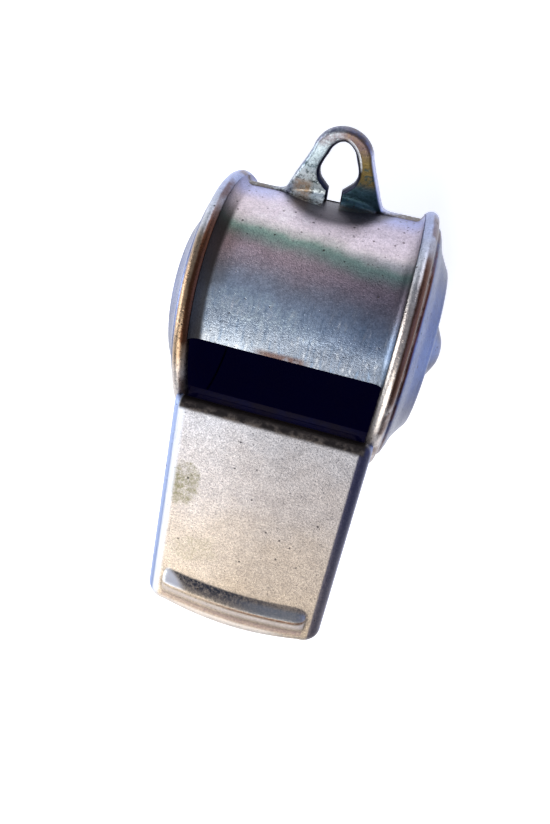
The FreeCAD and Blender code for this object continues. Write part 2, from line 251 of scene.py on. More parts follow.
def ridge_rise(x, y):
    """Height of the tooth ridge over the roof: steep towards the window, gentle to the tip."""
    past = math.hypot(x, y - RIDGE_CENTRE) - RIDGE_ARC
    end = RIDGE_END if x > 0 else RIDGE_BLUNT
    short = 1 - min(max((RIDGE_HALF - abs(x)) / end, 0), 1)
    full = math.sqrt(1 - short ** 2)
    if full < 0.05:
        return 0.0
    if past < 0:
        rise = smoothstep(-RIDGE_SLOPE * full, 0, past) ** 0.75
    else:
        rise = 1 - smoothstep(0, RIDGE_FACE, past) ** 0.85
    return RIDGE_HIGH * rise * full


def roof_surface():
    """Grid of the mouthpiece's outer surface: lip, flat, ridge, rounded edges and skirts.

    Columns crowd towards the side edges and rows towards the tip.
    """
    half, rows, lip_rows, skirt = 44, 200, 10, 8
    flat = [MOUTH_HALF * math.sin(math.pi / 2 * (i / half - 1)) for i in range(2 * half + 1)]
    width = len(flat) + 2 * skirt
    points = []
    for row in range(-lip_rows, rows + 1):
        ahead = 1 - (1 - max(row, 0) / rows) ** 1.5
        over = max(-row, 0) / lip_rows
        for column in range(width):
            side_step = max(skirt - column, column - (width - 1 - skirt), 0)
            place = min(max(column - skirt, 0), len(flat) - 1)
            points.append(roof_point(flat[place], side_step / skirt, ahead, over))
    faces = []
    for row in range(lip_rows + rows):
        for column in range(width - 1):
            a = row * width + column
            faces.append((a, a + 1, a + width + 1, a + width))
    return points, faces


def underside(y):
    """Height of the skirts' lower edge."""
    share = (WINDOW - LIP_ROUND - y) / (TIP_ARC - TIP_CENTRE + WINDOW)
    return JAW_BACK + (JAW_TIP - JAW_BACK) * min(max(share, 0), 1)


def roof_point(x, down, ahead, over):
    """One point of the roof's grid: shares of the way down a skirt, to the tip and over the lip."""
    if down > 0:
        end = tip_edge(MOUTH_HALF)
        low = underside(WINDOW + (end - WINDOW) * ahead)
        top = BARREL - EDGE_ROUND
        z = top + (low - top) * down
        start = -max(-WINDOW, math.sqrt((RIM - 0.1) ** 2 - z * z))
        return (x, start + (end - start) * ahead, z)
    start = WINDOW - LIP_ROUND
    if over > 0:
        turn = over * math.pi / 2
        y = start + LIP_ROUND * math.sin(turn)
        z = BARREL - LIP_ROUND * (1 - math.cos(turn)) - (LIP_DROP - LIP_ROUND) * smoothstep(0.7, 1, over)
        return (x, y, z - edge_drop(rim_distance(x, y), EDGE_ROUND))
    y = start + (tip_edge(x) - start) * ahead
    z = BARREL - edge_drop(rim_distance(x, y), EDGE_ROUND) + ridge_rise(x, y)
    z += 0.03 * noise.noise(Vector((x * 0.25, y * 0.25, 1.7)))
    return (x, y, z)


# ---------------------------------------------------------------- materials

class Shader:
    """Small helper that adds and links nodes of one material."""

    def __init__(self, name):
        self.material = bpy.data.materials.new(name)
        self.material.use_nodes = True
        self.tree = self.material.node_tree
        self.surface = self.tree.nodes["Principled BSDF"]

    def add(self, kind, inputs=None, **settings):
        node = self.tree.nodes.new(kind)
        for key, value in settings.items():
            setattr(node, key, value)
        for key, value in (inputs or {}).items():
            if isinstance(value, bpy.types.NodeSocket):
                self.tree.links.new(value, node.inputs[key])
            else:
                node.inputs[key].default_value = value
        return node

    def link(self, socket, name):
        self.tree.links.new(socket, self.surface.inputs[name])

    def bump(self, strength, distance, height):
        """Bump on the surface; distance is in millimetres."""
        node = self.add("ShaderNodeBump", {"Strength": strength, "Distance": distance * MM, "Height": height})
        self.link(node.outputs[0], "Normal")

    def math(self, operation, a, b=0.0, c=0.0):
        node = self.add("ShaderNodeMath", {0: a, 1: b, 2: c}, operation=operation)
        return node.outputs[0]

    def times(self, *parts):
        """Product of masks and numbers."""
        product, *others = parts
        for part in others:
            product = self.math("MULTIPLY", product, part)
        return product

    def hypot(self, a, b):
        return self.math("SQRT", self.math("ADD", self.times(a, a), self.times(b, b)))

    def oval(self, *axes):
        """Squared distance from an oval's middle, 1 on its edge; an axis is (value, middle, half)."""
        squares = []
        for value, middle, half in axes:
            share = self.math("DIVIDE", self.math("SUBTRACT", value, middle), half)
            squares.append(self.times(share, share))
        return self.math("ADD", *squares)

    def linear(self, value, low, high):
        """Straight remap of value from low..high to 0..1."""
        return self.add("ShaderNodeMapRange", {0: value, 1: low, 2: high}).outputs[0]

    def spread(self, value, low, high, to_low=0.0, to_high=1.0):
        """Smooth remap of value from low..high."""
        node = self.add("ShaderNodeMapRange", {0: value, 1: low, 2: high, 3: to_low, 4: to_high},
                        interpolation_type="SMOOTHSTEP")
        return node.outputs[0]

    def mix(self, share, a, b, blend="MIX"):
        """Blend of two colours, each a socket or an sRGB hex word."""
        a, b = (rgb(colour) if isinstance(colour, str) else colour for colour in (a, b))
        node = self.add("ShaderNodeMix", {0: share, 6: a, 7: b}, data_type="RGBA", blend_type=blend)
        return node.outputs[2]

    def place(self):
        """Position in barrel millimetres."""
        coordinates = self.add("ShaderNodeTexCoord").outputs["Object"]
        shifted = self.add("ShaderNodeVectorMath", {0: coordinates, 1: tuple(AXIS)}, operation="SUBTRACT")
        scaled = self.add("ShaderNodeVectorMath", {0: shifted.outputs[0], 1: (1 / MM,) * 3},
                          operation="MULTIPLY")
        return scaled.outputs[0]

    def axes(self, where):
        """The three coordinates of a place."""
        return self.add("ShaderNodeSeparateXYZ", {0: where}).outputs

    def turn(self, y, z):
        """Angle about the barrel's axis in degrees, 0 at the top and 90 towards the loop.

        It jumps from 180 to -180 under the barrel, so what it places has to fade out there.
        """
        return self.times(self.math("ARCTAN2", y, z), 180 / math.pi)

    def noise(self, where, scale, detail=3.0, rough=0.55, stretch=None):
        if stretch:
            where = self.add("ShaderNodeVectorMath", {0: where, 1: stretch}, operation="MULTIPLY").outputs[0]
        node = self.add("ShaderNodeTexNoise",
                        {"Vector": where, "Scale": scale, "Detail": detail, "Roughness": rough})
        return node.outputs["Fac"]

    def waver(self, where, scale, reach):
        """Slow noise from -reach to reach."""
        return self.math("MULTIPLY_ADD", self.noise(where, scale, 3), 2 * reach, -reach)

    def spots(self, where, scale, size):
        """Mask of scattered round spots."""
        node = self.add("ShaderNodeTexVoronoi", {"Vector": where, "Scale": scale, "Randomness": 1.0})
        near = self.spread(node.outputs["Distance"], size, size * 0.45)
        chosen = self.add("ShaderNodeSeparateColor", {0: node.outputs["Color"]}).outputs[0]
        return self.times(near, self.math("GREATER_THAN", chosen, 0.55))

    def ramp(self, value, stops):
        node = self.add("ShaderNodeValToRGB", {0: value})
        band = node.color_ramp
        band.interpolation = "B_SPLINE" if len(stops) > 4 else "EASE"
        while len(band.elements) < len(stops):
            band.elements.new(0.5)
        for element, (at, colour) in zip(band.elements, stops):
            element.position = at
            element.color = rgb(colour)
        return node.outputs[0]


def rgb(colour):
    """Scene-linear colour from an sRGB hex word."""
    parts = [int(colour[i:i + 2], 16) / 255 for i in (0, 2, 4)]
    return tuple(c / 12.92 if c < 0.04045 else ((c + 0.055) / 1.055) ** 2.4 for c in parts) + (1.0,)


def finish_plate(shader, where, colour, metallic, rough, grain=1.0, layers=(), matt=0.0):
    """Common end of every plated surface: mottling, grain, pits, scratches, and layers of wear and of painted
    shade, highlights and reflection.

    A layer is (mask, tone, gritty), and a gritty one is broken up by fine noise. matt is a mask
    of extra roughness.
    """
    mottle = shader.noise(where, 0.9, 4)
    fine = shader.noise(where, 4.5, 3, 0.7)
    dust = shader.noise(where, 10.0, 2)
    pits = shader.spots(where, 1.05, 0.12)
    small_pits = shader.spots(where, 2.4, 0.16)
    scratch = shader.noise(where, 3.0, 2, stretch=(0.5, 9.0, 9.0))
    colour = shader.mix(shader.spread(mottle, 0.35, 0.65, 0.0, 0.22), colour, "a39e9c", "MULTIPLY")
    colour = shader.mix(shader.spread(fine, 0.3, 0.7, 0.0, 0.4 * grain), colour, "f4f2ee", "OVERLAY")
    colour = shader.mix(shader.spread(dust, 0.35, 0.75, 0.0, 0.26 * grain), colour, "6a6560", "MULTIPLY")
    grit = shader.spread(shader.noise(where, 4.0, 4, 0.65), 0.34, 0.6)
    grit = shader.math("MULTIPLY_ADD", grit, 0.55, 0.45)
    for mask, tone, gritty in layers:
        colour = shader.mix(shader.times(mask, grit) if gritty else mask, colour, tone)
    colour = shader.mix(shader.times(pits, 0.8), colour, "2e2420")
    colour = shader.mix(shader.times(small_pits, 0.45), colour, "4c4038")
    shader.link(colour, "Base Color")
    shader.surface.inputs["Metallic"].default_value = metallic
    dulled = shader.math("MULTIPLY_ADD", fine, 0.22, rough - 0.11)
    dulled = shader.math("MULTIPLY_ADD", matt, 0.45, dulled)
    shader.link(shader.math("MULTIPLY_ADD", pits, 0.2, dulled), "Roughness")
    height = shader.math("MULTIPLY_ADD", dust, 0.35 * grain, shader.times(fine, 0.6 * grain))
    height = shader.math("MULTIPLY_ADD", scratch, 0.12, height)
    height = shader.math("MULTIPLY_ADD", pits, -1.1, height)
    height = shader.math("MULTIPLY_ADD", small_pits, -0.6, height)
    shader.bump(0.6, 0.055, height)
    return shader.material


def barrel_material():
    """Nickel plate on the barrel strip, in bands round it of tarnish and of painted reflection."""
    shader = Shader("barrel_plate")
    spread, times = shader.spread, shader.times
    where = shader.place()
    x, y, z = shader.axes(where)
    out = shader.math("ABSOLUTE", x)
    turn = shader.turn(y, z)
    # Bands round the barrel: tarnish, and painted reflections of the surroundings.
    slant = shader.math("MULTIPLY_ADD", x, 0.6, shader.math("ADD", turn, shader.waver(where, 0.35, 4.5)))
    colour = shader.ramp(shader.linear(slant, -10.0, 110.0), [
        (0.00, "8d939a"), (0.08, "95a0ac"), (0.16, "c2d2e4"), (0.22, "b0c4da"), (0.29, "9c9ea9"),
        (0.34, "9f929a"), (0.40, "7e6c74"), (0.455, "487468"), (0.482, "8d918c"), (0.53, "d2c6cc"),
        (0.72, "b2a8bc"), (0.86, "a09aae"), (1.00, "a3a6b4"),
    ])
    # Painted shade in broad tones down both sides and beside the window's edge, and a painted pale blue sky
    # reflection high at the back.
    above = spread(turn, 50.0, 44.0, 0.3, 1.0)
    right = times(spread(x, -3.5, 6.8, 0.0, 0.85), spread(turn, 3.0, 9.0, 0.5, 1.0), above)
    colour = shader.mix(right, colour, "a0a6b4", "MULTIPLY")
    left = times(spread(x, -4.9, -6.4, 0.0, 0.6), spread(turn, 11.0, 22.0), above)
    colour = shader.mix(left, colour, "b09c88", "MULTIPLY")
    window_lip_shade = times(spread(x, -4.5, 0.5), spread(turn, 7.0, 2.0))
    colour = shader.mix(window_lip_shade, colour, "cdccce", "MULTIPLY")
    sky = times(spread(out, 2.5, 5.5), spread(turn, 64.0, 78.0, 0.0, 0.6))
    colour = shader.mix(sky, colour, "8c9ad4")
    # Streaks round the barrel, towards the window.
    streaks = shader.noise(where, 1.0, 5, 0.7, stretch=(2.8, 0.6, 0.6))
    low = times(spread(turn, 26.0, 12.0), spread(turn, -70.0, -25.0))
    colour = shader.mix(times(spread(streaks, 0.5, 0.66, 0.0, 0.55), low), colour, "5f7690")
    colour = shader.mix(times(spread(streaks, 0.46, 0.34, 0.0, 0.45), low), colour, "c6ccd2")
    # One plain tone underneath, where turn jumps.
    under = spread(shader.math("ABSOLUTE", turn), 115.0, 165.0)
    seen = shader.math("SUBTRACT", 1.0, under)
    colour = shader.mix(under, colour, "9a9ca6")
    # Dark tarnish on the window's lip and on the seam, a painted shadow of the left rim beside it, and
    # painted shade under the loop's bend.
    middle = shader.math("ABSOLUTE", shader.math("ADD", x, 0.3))
    lip = times(spread(turn, -1.2, -3.4), spread(turn, -9.0, -6.0), spread(middle, 2.6, 1.2),
                spread(shader.noise(where, 0.8, 2), 0.3, 0.5, 0.3, 0.85))
    # Painted shadow cast by the left rim onto the strip, also made rougher.
    left_rim_shadow = times(spread(out, 6.4, 6.85), spread(turn, 74.0, 44.0, 0.25, 1.0),
                 spread(x, 0.5, -0.5, 0.12, 1.0), seen)
    seam = times(spread(turn, 84.0, 89.0), spread(turn, 96.0, 90.0))
    # Painted shade: a dark crescent on the barrel under the loop's bend.
    loop_bend_shade = shader.oval((x, 0.6, 4.7), (turn, 92.0, 32.0))
    loop_bend_shade = times(spread(loop_bend_shade, 1.2, 0.75, 0.0, 0.95), spread(turn, 91.0, 88.0))
    freckles = times(shader.spots(where, 1.9, 0.26), spread(turn, 40.0, 54.0, 0.0, 0.8), seen)
    return finish_plate(shader, where, colour, 0.8, 0.34, 1.2, (
        (lip, "4c2f20", False), (times(left_rim_shadow, 0.88), "2c2521", False), (seam, "54423a", True),
        (loop_bend_shade, "2f2b34", False), (freckles, "3a2e36", False),
    ), left_rim_shadow)


def inside_material():
    """Dull, dark oxide inside the barrel and the mouthpiece, with a very faint blue glow."""
    shader = Shader("inside_oxide")
    where = shader.place()
    blotch = shader.noise(where, 0.5, 4)
    colour = shader.mix(shader.spread(blotch, 0.35, 0.65), "1c1a3c", "2c221e")
    colour = shader.mix(shader.spread(shader.noise(where, 6.0, 3), 0.45, 0.75, 0.0, 0.5), colour, "3a2e22")
    shader.link(colour, "Base Color")
    shader.surface.inputs["Metallic"].default_value = 0.3
    shader.surface.inputs["Emission Color"].default_value = rgb("2a20b0")
    shader.surface.inputs["Emission Strength"].default_value = 0.015
    shader.link(shader.math("MULTIPLY_ADD", blotch, 0.2, 0.6), "Roughness")
    shader.bump(0.4, 0.05, shader.noise(where, 5.0, 3))
    return shader.material


def cap_material():
    """Plate on the side caps, painted blue where it reflects the sky, worn to brass along the rolled rims."""
    shader = Shader("cap_plate")
    spread, times = shader.spread, shader.times
    where = shader.place()
    x, y, z = shader.axes(where)
    radius = shader.hypot(y, z)
    out = shader.math("ABSOLUTE", x)
    turn = shader.turn(y, z)
    # The dished face, painted blue for the sky it reflects and bluer on the right, with painted shade to the
    # front and to the rear.
    face = shader.mix(spread(shader.noise(where, 0.45, 3), 0.3, 0.7), "545f86", "707b9e")
    face = shader.mix(spread(shader.noise(where, 1.3, 4, 0.65), 0.5, 0.68, 0.0, 0.5), face, "525d82")
    face = shader.mix(spread(x, -1.0, 1.0), face, "d4e6fc", "MULTIPLY")
    not_under = spread(shader.math("ABSOLUTE", turn), 165.0, 110.0)
    face = shader.mix(times(spread(turn, 14.0, -32.0), not_under), face, "7e86a0", "MULTIPLY")
    face = shader.mix(times(spread(turn, 28.0, 66.0), not_under), face, "9aa1b6", "MULTIPLY")
    # The rolled rim's crest, in bands round it of tone and of painted highlights and blue sky reflection.
    shaken = shader.math("ADD", turn, shader.waver(where, 0.5, 7.0))
    crest = shader.ramp(shader.linear(shaken, -180.0, 180.0), [
        (0.00, "a4a6b4"), (0.20, "8f8d98"), (0.38, "b4aca8"), (0.46, "c8c0ba"), (0.50, "c4bcb6"),
        (0.53, "c0b4ac"), (0.57, "aea49e"), (0.60, "a4a4a6"), (0.63, "b0b6c0"), (0.67, "8f98b4"),
        (0.73, "8794c4"), (0.86, "939bb8"), (1.00, "a4a6b4"),
    ])
    golden = times(spread(x, 0.0, -1.0), spread(shaken, 44.0, 30.0), spread(shaken, -24.0, -10.0, 0.0, 0.8))
    crest = shader.mix(golden, crest, "c8a878", "MULTIPLY")
    on_bead = times(spread(radius, 10.1, 10.45), spread(out, 8.7, 8.35))
    colour = shader.mix(on_bead, face, crest)
    # Copper rubbed through on the right of each rim, and painted shade in the channel inside it.
    past_plane = shader.math("SUBTRACT", x, times(shader.math("SIGN", x), BEAD_PLANE))
    ragged = shader.math("MULTIPLY_ADD", shader.noise(where, 0.9, 2), 0.16,
                         shader.math("SUBTRACT", past_plane, 0.12))
    copper = times(spread(shaken, -16.0, -6.0), spread(shaken, 62.0, 42.0))
    patchy = spread(shader.noise(where, 0.35, 3), 0.42, 0.6, 0.0, 0.8)
    rubbed = times(spread(ragged, -0.06, 0.14), spread(past_plane, 1.1, 1.0), spread(radius, 9.8, 9.95),
                   shader.math("MAXIMUM", copper, patchy), 0.96)
    # Painted shade in the channel between the rim and the strip.
    rim_channel_shade = times(spread(out, 7.72, 7.48), spread(radius, 10.95, 10.6), spread(turn, 38.0, 26.0, 0.05, 1.0))
    specks = times(shader.spots(where, 1.3, 0.2), spread(out, 8.6, 8.8, 0.0, 0.8))
    return finish_plate(shader, where, colour, 0.88, 0.3, 1.0, (
        (rubbed, "4a2714", False), (rim_channel_shade, "2c2830", True), (specks, "343a56", False),
    ))


def mouth_material():
    """Frosted plate on the mouthpiece, yellowing towards the tip."""
    shader = Shader("mouthpiece_plate")
    spread, times = shader.spread, shader.times
    where = shader.place()
    x, y, z = shader.axes(where)
    out = shader.math("ABSOLUTE", x)
    along = shader.math("ADD", y, shader.waver(where, 0.3, 2.5))
    colour = shader.ramp(shader.linear(along, -6.0, -27.0), [
        (0.0, "b6b7bd"), (0.3, "bab5b4"), (0.6, "bfb4a8"), (1.0, "beae98"),
    ])
    # Painted shade: darker towards the right.
    colour = shader.mix(spread(x, -6.0, 2.5, 0.0, 0.46), colour, "928a84", "MULTIPLY")
    on_roof = spread(z, BARREL - 1.6, BARREL - 1.0)
    # Two faint stains, one at the left edge and a weaker one nearer the tip.
    patches = []
    for (mid_x, mid_y), (half_x, half_y), strength in (((-6.3, -13.6), (1.5, 2.1), 1.0),
                                                       ((-4.2, -19.6), (2.2, 1.5), 0.4)):
        far = shader.oval((x, mid_x, half_x), (y, mid_y, half_y))
        far = shader.math("ADD", far, shader.waver(where, 0.9, 1.6))
        patches.append(spread(far, 1.3, 0.35, 0.0, strength))
    stain = times(spread(shader.noise(where, 2.1, 5, 0.75), 0.3, 0.6, 0.15, 0.9),
                  shader.math("MAXIMUM", *patches), on_roof)
    # Edges and skirts: a painted highlight and a painted blue reflection line on the left edge, painted shade
    # on the right edge, and painted blue reflection on the skirts.
    left_edge_highlight = times(spread(x, -6.8, -7.3), on_roof)
    left_edge_reflection = times(spread(x, -7.5, -7.64), on_roof)
    right_edge_shade = times(spread(x, 7.08, 7.3), spread(z, BARREL - 0.7, BARREL - 0.35),
                       spread(y, -24.0, -8.0, 0.8, 1.0))
    skirt = times(spread(z, BARREL - 0.3, BARREL - 0.8), spread(out, 7.6, 7.9))
    # The tooth ridge, as ridge_rise shapes it: past is the distance beyond its crest.
    past = shader.math("SUBTRACT", shader.hypot(x, shader.math("SUBTRACT", y, RIDGE_CENTRE)), RIDGE_ARC)
    short = shader.math("MAXIMUM", shader.linear(x, RIDGE_HALF - RIDGE_END, RIDGE_HALF),
                        shader.linear(x, RIDGE_BLUNT - RIDGE_HALF, -RIDGE_HALF))
    full = shader.math("SQRT", shader.math("SUBTRACT", 1.0, times(short, short)))
    on_ridge = times(on_roof, spread(full, 0.15, 0.5))
    up_slope = shader.math("DIVIDE", past, shader.math("MAXIMUM", full, 0.05))
    thinned = shader.math("ADD", up_slope, spread(x, -4.0, -6.8, 0.0, 0.85))
    # Painted light on the ridge: shade on its slope towards the window, blue-grey shade on that slope further
    # right, and a highlight on its left part.
    ridge_slope_shade = times(spread(up_slope, -1.15, -0.95), spread(thinned, 0.05, -0.75),
                  spread(x, 5.0, -1.5, 0.45, 1.0), on_ridge)
    blue = times(spread(up_slope, -0.9, -0.6), spread(up_slope, 0.02, -0.1), spread(x, -1.5, 3.5, 0.0, 0.6),
                 on_ridge)
    ridge_highlight = times(spread(thinned, -0.5, -0.1), spread(up_slope, 0.02, -0.1), spread(x, -4.0, -5.4, 0.0, 0.9),
                  on_ridge)
    crest = times(spread(past, -0.05, 0.08), spread(past, 0.32, 0.18), on_ridge,
                  spread(x, -4.5, 2.5, 0.3, 1.0))
    # Painted light on the ridge's face towards the tip.
    face = times(spread(past, 0.3, 0.5), spread(past, 1.5, 0.7, 0.0, 0.8), on_ridge)
    foot = times(spread(past, 1.3, 1.7), spread(past, 2.3, 1.9, 0.0, 0.6), on_ridge)
    rim_face = times(spread(past, 2.0, 2.3), spread(x, 6.0, 3.0, 0.1, 0.6), on_roof)
    # The turned-down lip at the window.
    lip = times(spread(y, -6.95, -6.55), spread(out, 7.7, 7.4))
    blotch = times(lip, spread(shader.noise(where, 1.1, 3), 0.45, 0.6, 0.0, 0.7), spread(y, -6.1, -6.35))
    return finish_plate(shader, where, colour, 0.6, 0.46, 2.2, (
        (stain, "6f6c42", True), (left_edge_highlight, "d8dce4", False), (skirt, "7e88aa", False),
        (left_edge_reflection, "92a2c8", False), (right_edge_shade, "2c2c46", False), (ridge_slope_shade, "2e333f", True),
        (blue, "76828f", False), (ridge_highlight, "eceef2", False), (crest, "6e4a34", True),
        (face, "dcd0ca", True), (rim_face, "d6d0cc", False), (foot, "7a6468", True),
        (lip, "241e1c", False), (blotch, "6a6058", True),
    ))


def loop_material():
    """Plate on the loop, with verdigris and olive tarnish in patches, painted shade on its inner edges and at
    its foot, and painted highlights on its edges.
    """
    shader = Shader("loop_plate")
    spread, times = shader.spread, shader.times
    where = shader.place()
    x, y, z = shader.axes(where)
    out = shader.math("ABSOLUTE", x)
    # Distances from the root: along the loop's sheet, and off its middle plane.
    back = shader.math("SUBTRACT", y, LOOP_ROOT[0])
    rise = shader.math("SUBTRACT", z, LOOP_ROOT[1])
    lean, level = math.sin(LOOP_PITCH), math.cos(LOOP_PITCH)
    along = shader.math("ADD", times(back, level), times(rise, lean))
    off = shader.math("SUBTRACT", times(rise, level), times(back, lean))
    # A pale left arm and a dark right one, each cooler in tone near the barrel.
    side = spread(shader.math("ADD", x, shader.waver(where, 0.6, 1.2)), -0.6, 0.8)
    near = spread(along, 3.2, 1.9)
    colour = shader.mix(side, shader.mix(near, "b4c6d0", "f2ffff"), shader.mix(near, "6b5a3c", "34505e"))
    olive = times(side, spread(along, 2.2, 2.8), spread(along, 4.9, 4.2, 0.0, 0.7))
    top = spread(along, 4.6, 5.4, 0.0, 0.8)
    green = times(spread(shader.noise(where, 2.2, 4, 0.7), 0.5, 0.6, 0.0, 0.9),
                  spread(along, 4.6, 3.6, 0.15, 1.0))
    cream = times(spread(x, -1.6, -2.2), spread(x, -3.6, -3.0), spread(along, 0.5, 0.9),
                  spread(along, 2.1, 1.7, 0.0, 0.8))
    # Painted shade where the loop meets the barrel.
    foot = spread(shader.hypot(y, z), BARREL + 0.3, BARREL + 0.03)
    flange = spread(out, 4.9, 5.6)
    # The sheet's edges, inside the keyhole and round the outside, in painted light: shade on the keyhole's
    # edge, a highlight on the right arm's outer edge and shade on the other outer edges, and a highlight
    # beside the keyhole.
    eye = shader.oval((along, 3.1, 2.75), (x, 0.0, 1.8))
    slot = times(spread(out, 0.95, 0.75), spread(along, 2.2, 1.9))
    hole = shader.math("MAXIMUM", spread(eye, 1.15, 1.0), slot)
    keyhole_edge_shade = times(spread(off, 0.448, 0.4), hole)
    outer_edge = times(spread(off, 0.42, 0.3), shader.math("SUBTRACT", 1.0, hole))
    right_arm = times(spread(x, 1.4, 2.2), spread(along, 5.6, 4.8))
    outer_edge_highlight = times(outer_edge, right_arm)
    outer_edge_shade = times(outer_edge, shader.math("SUBTRACT", 0.85, times(right_arm, 0.85)))
    keyhole_highlight = times(spread(eye, 1.14, 1.05), spread(eye, 0.88, 0.97), spread(x, 0.2, 0.8),
                       spread(along, 3.4, 4.0, 0.0, 0.7))
    return finish_plate(shader, where, colour, 0.65, 0.34, 1.0, (
        (olive, "6a5a24", True), (top, "5f4b52", True), (green, "1f4044", True), (cream, "c9a67e", True),
        (keyhole_edge_shade, "171a30", False), (outer_edge_highlight, "b4b9d0", False), (outer_edge_shade, "555b74", True),
        (keyhole_highlight, "dfe6ee", False), (foot, "4a4440", True), (flange, "6c6660", True),
    ))


def cork_material():
    """Ground cork: warm brown with darker pores."""
    shader = Shader("cork")
    where = shader.place()
    cells = shader.add("ShaderNodeTexVoronoi", {"Vector": where, "Scale": 1.1}, feature="F1")
    tone = shader.add("ShaderNodeSeparateColor", {0: cells.outputs["Color"]}).outputs[0]
    pores = shader.spread(shader.noise(where, 1.7, 4, 0.7), 0.56, 0.68)
    colour = shader.mix(shader.times(pores, 0.8), shader.mix(tone, "8d5f38", "b98a58"), "3c2616")
    shader.link(colour, "Base Color")
    shader.surface.inputs["Roughness"].default_value = 0.85
    shader.bump(0.7, 0.15, shader.math("MULTIPLY_ADD", pores, -1.0, cells.outputs["Distance"]))
    return shader.material


def floor_material():
    """Plain pale paper, with a soft glow that keeps it white."""
    shader = Shader("pale_floor")
    shader.link(shader.mix(shader.noise(shader.place(), 0.05, 3), "f6f6f6", "ffffff"), "Base Color")
    shader.surface.inputs["Roughness"].default_value = 0.9
    shader.surface.inputs["Emission Color"].default_value = (1.0, 1.0, 1.0, 1.0)
    shader.surface.inputs["Emission Strength"].default_value = 0.55
    return shader.material


BARREL_PLATE = barrel_material()
INSIDE = inside_material()
CAP_PLATE = cap_material()
MOUTH_PLATE = mouth_material()
LOOP_PLATE = loop_material()
CORK = cork_material()


# ---------------------------------------------------------------- pieces

def inward(points, faces, radius):
    """Face picks: 1 where a face lies wholly inside a radius about the barrel's axis, else 0."""
    picks = []
    for face in faces:
        far = max(math.hypot(points[i][1], points[i][2]) for i in face)
        picks.append(1 if far < radius else 0)
    return picks


def make_shells():
    """The barrel's two strips; the lower one's last stretch lies inside the mouthpiece."""
    profile = strip_profile()
    for name, node, start, stop, inside in (
        ("upper_strip", "upper_shell", LIP_ANGLE, SEAM_ANGLE, 0),
        ("lower_strip", "lower_shell", SEAM_ANGLE + SEAM_GAP, math.tau + FRONT_ANGLE, INSIDE_MOUTH),
    ):
        steps = round(abs(stop - start) / math.radians(1.2))
        points, faces = turned(profile, start, stop, steps)
        picks = inward(points, faces, BARREL - METAL / 2)
        if inside:
            end_faces = 2
            hidden = round(inside / (stop - start) * steps) * len(profile) + end_faces
            picks[-hidden:] = [1] * hidden
        mesh_piece(name, points, faces, [BARREL_PLATE, INSIDE], CASE, (node,), picks)


def make_caps():
    """The side caps; the first points of the profile, up to the bead, are the inner face."""
    for name, side in (("left_side_cap", -1), ("right_side_cap", 1)):
        profile = cap_profile(side)
        points, faces = turned(profile, 0, math.tau, 300)
        inner_count = next(i for i, p in enumerate(profile) if p[1] > 9.7)
        count = len(profile)
        picks = [1 if face[0] % count < inner_count - 1 else 0 for face in faces]
        mesh_piece(f"{name}_dish", points, faces, [CAP_PLATE, INSIDE], CASE, (name,), picks)


def make_mouthpiece():
    points, faces = roof_surface()
    roof = mesh_piece("mouthpiece_roof", points, faces, [MOUTH_PLATE, INSIDE], CASE,
                      ("mouthpiece_top",))
    wall = roof.modifiers.new("sheet", "SOLIDIFY")
    wall.thickness = METAL * MM
    wall.offset = -1
    wall.material_offset = 1
    wall.material_offset_rim = 0


def loop_outline():
    """Outer line of the loop and its flange, as (x, distance from the root)."""
    half = [(7.15, -0.3), (7.15, 0.4), (5.2, 0.4)]
    half += smooth_line([(5.2, 0.4), (4.5, 0.45), (4.05, 0.68), (3.75, 1.25), (3.4, 2.1), (3.0, 3.0),
                         (2.65, 3.8)], 5)[1:]
    half += [(2.4 * math.cos(a), 4.1 + 2.4 * math.sin(a))
             for a in (math.radians(10 + 4 * i) for i in range(21))]
    return half + [(-x, s) for x, s in reversed(half[:-1])]


def eye_outline():
    """Keyhole: a pointed eye over a slot."""
    half = [(0.55, 0.02), (0.55, 1.45)]
    half += smooth_line([(0.55, 1.45), (0.9, 1.8), (1.33, 2.3), (1.5, 2.95), (1.38, 3.6), (1.1, 4.3),
                         (0.85, 4.9), (0.4, 5.36), (0.0, 5.5)], 4)[1:]
    return half + [(-x, s) for x, s in reversed(half[:-1])]


def on_loop(along, off):
    """Y and Z of a place on the loop, from its root and off its middle plane."""
    return (LOOP_ROOT[0] + along * math.cos(LOOP_PITCH) - off * math.sin(LOOP_PITCH),
            LOOP_ROOT[1] + along * math.sin(LOOP_PITCH) + off * math.cos(LOOP_PITCH))


def make_loop():
    """The loop and its flange, cut from one sheet with rounded edges, then leaned and pitched."""
    curve = bpy.data.curves.new("loop_line", "CURVE")
    curve.dimensions = "2D"
    curve.fill_mode = "BOTH"
    for outline in (loop_outline(), eye_outline()):
        line = curve.splines.new("POLY")
        line.points.add(len(outline) - 1)
        line.use_cyclic_u = True
        for point, (x, s) in zip(line.points, outline):
            point.co = (x, s, 0, 1)
    curve.bevel_depth = LOOP_BEVEL
    curve.bevel_resolution = 4
    curve.offset = -LOOP_BEVEL
    curve.extrude = LOOP_SHEET / 2 - LOOP_BEVEL
    holder = bpy.data.objects.new("loop_line", curve)
    bpy.context.scene.collection.objects.link(holder)
    bpy.context.view_layer.update()
    flat = bpy.data.meshes.new_from_object(holder.evaluated_get(bpy.context.evaluated_depsgraph_get()))
    points = []
    for vertex in flat.vertices:
        x, s, off = vertex.co
        points.append((x + LOOP_LEAN * smoothstep(1.2, 5.0, s),) + on_loop(s, off))
    faces = [tuple(face.vertices) for face in flat.polygons]
    bpy.data.objects.remove(holder)
    mesh_piece("lanyard_loop", points, faces, [LOOP_PLATE], CASE, ())


